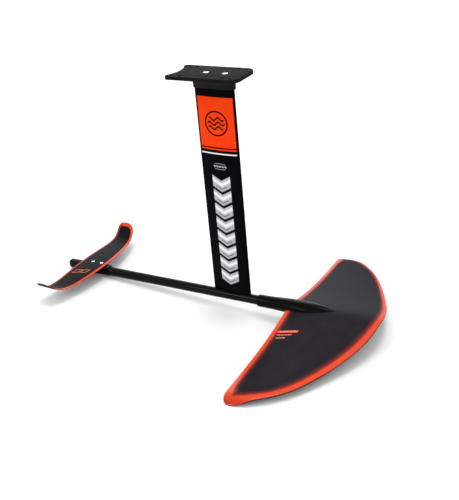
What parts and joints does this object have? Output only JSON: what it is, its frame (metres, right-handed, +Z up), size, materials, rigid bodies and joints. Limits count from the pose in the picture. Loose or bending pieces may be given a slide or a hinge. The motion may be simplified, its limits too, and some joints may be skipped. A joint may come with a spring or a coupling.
{
  "type": "hydrofoil mast wing",
  "caption": "Hydrofoil for a board: flat mounting plate, foil-section mast, round fuselage, swept front wing with drooped tips and a small stabiliser with up-turned tips.",
  "frame": {"origin": "centre of the mounting plate's top face, where it meets the board", "axes": "+X forward to the front wing, +Y to port, +Z up out of the plate's top face"},
  "size_m": [1.0122, 0.7898, 0.6948],
  "materials": {
    "plate_coat": "matte charcoal hard coat",
    "cast_black": "matte black, lightly textured",
    "mast_coat": "satin black with an orange panel and pale marks",
    "fuselage_coat": "satin black anodised",
    "wing_carbon": "satin carbon weave with an orange edge",
    "stabiliser_carbon": "satin carbon weave with an orange edge",
    "stainless": "bright stainless",
    "sleeve_steel": "plain steel",
    "raw_aluminium": "machined"
  },
  "bodies": {
    "root": {"mount_plate": "plate_coat", "plate_screw_rear": "stainless", "plate_screw_front": "stainless", "mast_head": "cast_black", "head_insert_rear": "sleeve_steel", "head_insert_front": "sleeve_steel", "mast_extrusion": "mast_coat", "foot_insert": "raw_aluminium", "foot_sleeve_rear": "sleeve_steel", "foot_sleeve_front": "sleeve_steel", "foot_screw_rear": "stainless", "foot_screw_front": "stainless", "fuselage": "fuselage_coat", "front_wing": "wing_carbon", "wing_screw_rear": "stainless", "wing_screw_front": "stainless", "wing_sleeve_rear": "sleeve_steel", "wing_sleeve_front": "sleeve_steel", "stabiliser": "stabiliser_carbon", "stabiliser_screw_rear": "stainless", "stabiliser_screw_front": "stainless", "tail_sleeve_rear": "sleeve_steel", "tail_sleeve_front": "sleeve_steel"}
  },
  "joints": []
}
